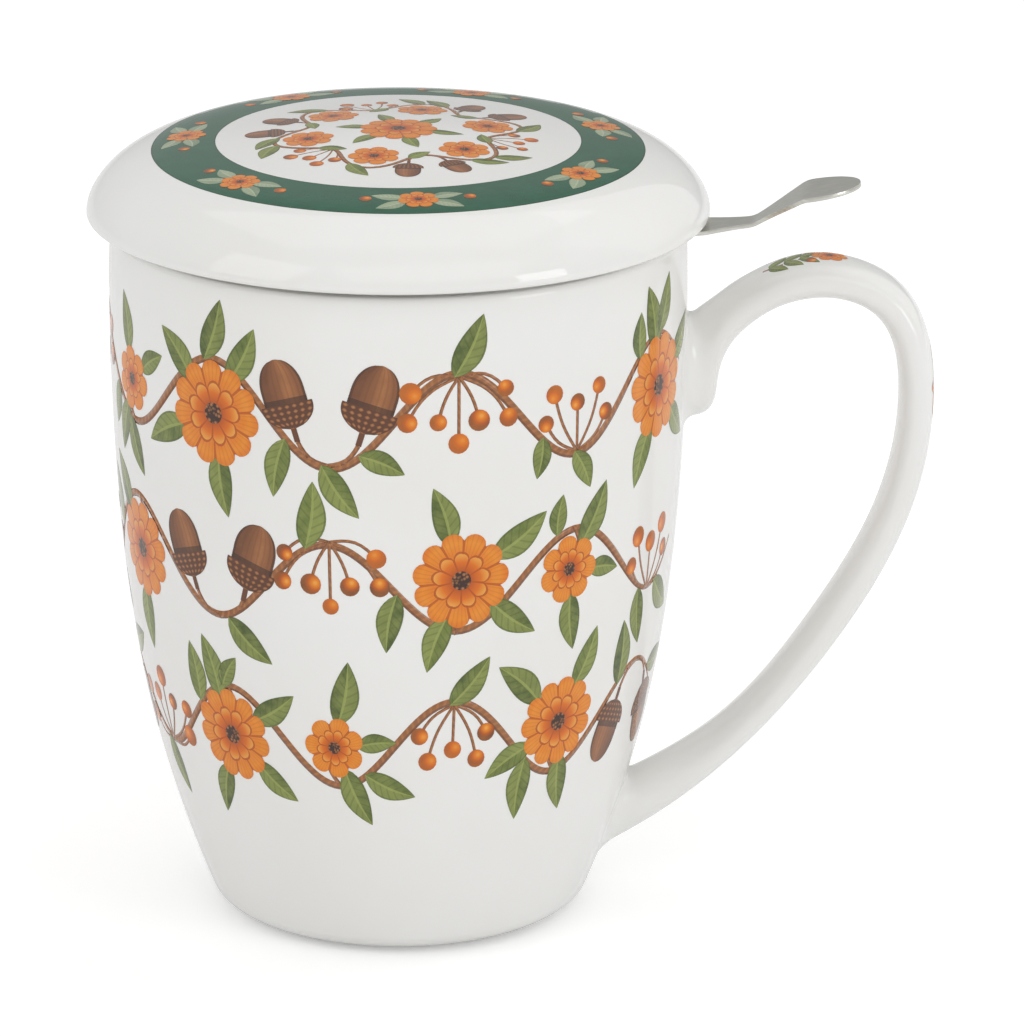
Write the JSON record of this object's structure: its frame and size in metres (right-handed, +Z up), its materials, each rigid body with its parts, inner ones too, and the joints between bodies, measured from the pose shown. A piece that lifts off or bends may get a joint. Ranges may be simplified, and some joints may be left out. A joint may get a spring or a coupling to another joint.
{
  "type": "tea mug with infuser",
  "caption": "Rounded porcelain tea mug with a loop handle, a low domed lift-off lid and a perforated steel infuser that hangs on the rim and lifts out by a tab under the lid.",
  "frame": {"origin": "centre of the foot ring's flat underside, on the mug's axis", "axes": "+Z up along the mug's axis, +X from the axis towards the handle"},
  "size_m": [0.1233, 0.0902, 0.1178],
  "materials": {
    "porcelain": "glossy white glaze",
    "steel": "satin stainless steel"
  },
  "bodies": {
    "mug": {"mug_body": "porcelain", "mug_handle": "porcelain"},
    "infuser": {"infuser_rim": "steel", "infuser_tab": "steel", "infuser_sleeve": "steel", "infuser_base": "steel"},
    "lid": {"lid": "porcelain"}
  },
  "joints": [
    {"name": "infuser_lift", "type": "slide", "parent": "mug", "child": "infuser", "axis": [0, 0, 1], "range_m": [0, 0.085]},
    {"name": "lid_lift", "type": "slide", "parent": "infuser", "child": "lid", "axis": [0, 0, 1], "range_m": [0, 0.06]}
  ]
}
